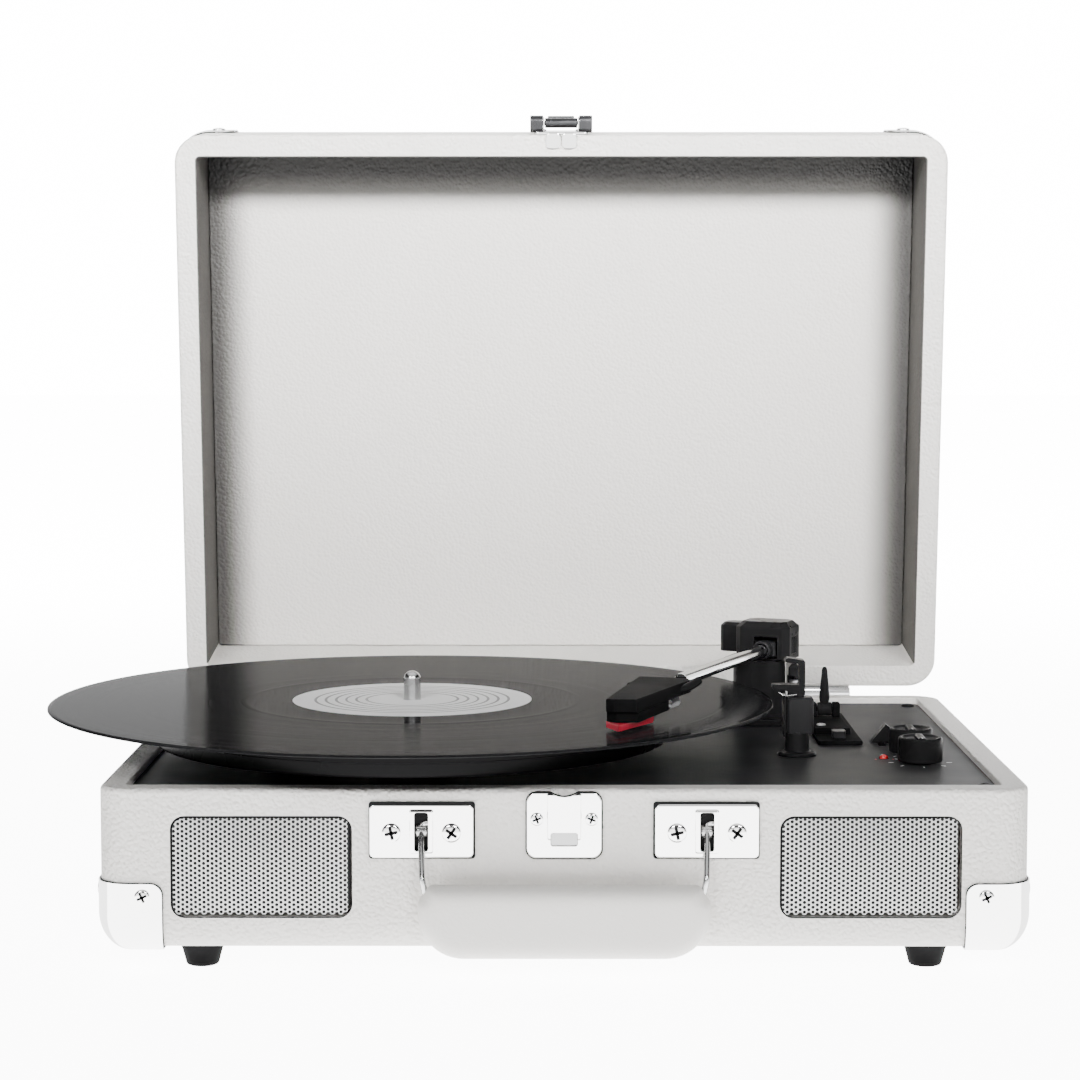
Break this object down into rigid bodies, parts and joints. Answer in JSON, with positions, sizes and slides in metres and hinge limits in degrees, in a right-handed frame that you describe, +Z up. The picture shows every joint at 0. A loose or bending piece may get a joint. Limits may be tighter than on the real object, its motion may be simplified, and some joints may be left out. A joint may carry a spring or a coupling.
{
  "type": "record player",
  "caption": "Portable suitcase record player with open lid, turning platter holding a record, pivoting tonearm, control knobs, two front speakers and a folding carry handle.",
  "frame": {"origin": "on the floor under the middle of the whole object, with its lid open and the record in place", "axes": "+Z up; +Y from the front, where the speakers are, to the back, where the lid is hinged; +X to the right seen from the front"},
  "size_m": [0.3929, 0.3538, 0.3428],
  "materials": {
    "leatherette": "pebbled leatherette over board",
    "liner": "smooth pale lining",
    "deck": "fine matte black",
    "black_plastic": "satin black",
    "rubber": "matte",
    "mat": "ribbed rubber",
    "belt": "smooth rubber",
    "chrome": "polished",
    "steel": "plain",
    "grille": "satin silver, perforated",
    "vinyl": "glossy, grooved",
    "stylus": "translucent red",
    "lamp": "red lens",
    "board": "circuit board"
  },
  "bodies": {
    "base": {"arm_rest_clip": "black_plastic", "arm_rest_post": "steel", "base_case": "leatherette", "circuit_board": "board", "control_plate": "black_plastic", "corner_base_front_left": "chrome", "corner_base_front_right": "chrome", "corner_base_rear_left": "chrome", "corner_base_rear_right": "chrome", "deck_plate": "deck", "drive_belt": "belt", "foot_front_left": "rubber", "foot_front_right": "rubber", "foot_rear_left": "rubber", "foot_rear_right": "rubber", "handle_plate_left": "chrome", "handle_plate_right": "chrome", "hinge_base_left": "steel", "hinge_base_right": "steel", "jack_panel": "black_plastic", "latch_keeper": "chrome", "motor": "steel", "platter_bearing": "steel", "power_inlet": "black_plastic", "power_lamp": "lamp", "speaker_driver_left": "black_plastic", "speaker_driver_right": "black_plastic", "speaker_grille_left": "grille", "speaker_grille_right": "grille", "spindle": "chrome", "tonearm_base": "black_plastic"},
    "lid": {"lid_shell": "leatherette", "lid_liner": "liner", "latch_plate": "chrome", "hinge_lid_left": "steel", "hinge_lid_right": "steel", "corner_lid_front_left": "chrome", "corner_lid_front_right": "chrome", "corner_lid_rear_left": "chrome", "corner_lid_rear_right": "chrome"},
    "latch": {"latch_hasp": "chrome"},
    "handle": {"handle_grip": "leatherette", "handle_wire_left": "chrome", "handle_wire_right": "chrome"},
    "platter_set": {"platter": "black_plastic", "platter_mat": "mat", "record": "vinyl"},
    "motor_rotor": {"motor_pulley": "steel"},
    "arm_turret": {"tonearm_yoke": "black_plastic"},
    "arm": {"tonearm_gimbal": "black_plastic", "tonearm_tube": "chrome", "headshell": "black_plastic", "cartridge": "black_plastic", "stylus": "stylus"},
    "cue": {"cue_lever": "black_plastic"},
    "volume": {"knob_volume": "black_plastic"},
    "mode": {"knob_mode": "black_plastic"},
    "speed": {"speed_selector": "black_plastic"},
    "auto_stop": {"auto_stop_switch": "black_plastic"}
  },
  "joints": [
    {"name": "lid_hinge", "type": "hinge", "parent": "base", "child": "lid", "pos_m": [0.0174, 0.1267, 0.071], "axis": [1, 0, 0], "range_deg": [0, 38]},
    {"name": "latch_swing", "type": "hinge", "parent": "lid", "child": "latch", "pos_m": [0.0174, 0.10853, 0.33957], "axis": [1, 0, 0], "range_deg": [0, 170]},
    {"name": "handle_swing", "type": "hinge", "parent": "base", "child": "handle", "pos_m": [0.0174, -0.1355, 0.058], "axis": [-1, 0, 0], "range_deg": [0, 90]},
    {"name": "platter_spin", "type": "hinge", "parent": "base", "child": "platter_set", "pos_m": [-0.0456, -0.0261, 0.087], "axis": [0, 0, 1], "continuous": true},
    {"name": "motor_spin", "type": "hinge", "parent": "base", "child": "motor_rotor", "pos_m": [-0.11065, 0.03895, 0.07], "axis": [0, 0, 1], "continuous": true},
    {"name": "arm_swing", "type": "hinge", "parent": "base", "child": "arm_turret", "pos_m": [0.1118, 0.0577, 0.1023], "axis": [0, 0, 1], "range_deg": [-22, 22]},
    {"name": "arm_lift", "type": "hinge", "parent": "arm_turret", "child": "arm", "pos_m": [0.1118, 0.0577, 0.1023], "axis": [-0.9252, 0.3795, 0], "range_deg": [0, 1.2]},
    {"name": "cue_turn", "type": "hinge", "parent": "base", "child": "cue", "pos_m": [0.1339, 0.0389, 0.077], "axis": [1, 0, 0], "range_deg": [0, 50]},
    {"name": "volume_turn", "type": "hinge", "parent": "base", "child": "volume", "pos_m": [0.163, -0.0594, 0.078], "axis": [0, 0, 1], "range_deg": [-135, 135]},
    {"name": "mode_turn", "type": "hinge", "parent": "base", "child": "mode", "pos_m": [0.1624, -0.0346, 0.078], "axis": [0, 0, 1], "range_deg": [-40, 40]},
    {"name": "speed_slide", "type": "slide", "parent": "base", "child": "speed", "axis": [0, 1, 0], "range_m": [-0.006, 0.006]},
    {"name": "auto_stop_slide", "type": "slide", "parent": "base", "child": "auto_stop", "axis": [0, 1, 0], "range_m": [-0.0025, 0.0025]}
  ],
  "couplings": [
    {"joint": "motor_spin", "follows": "platter_spin", "ratio": 12.293},
    {"joint": "arm_lift", "follows": "cue_turn", "ratio": 0.024}
  ]
}
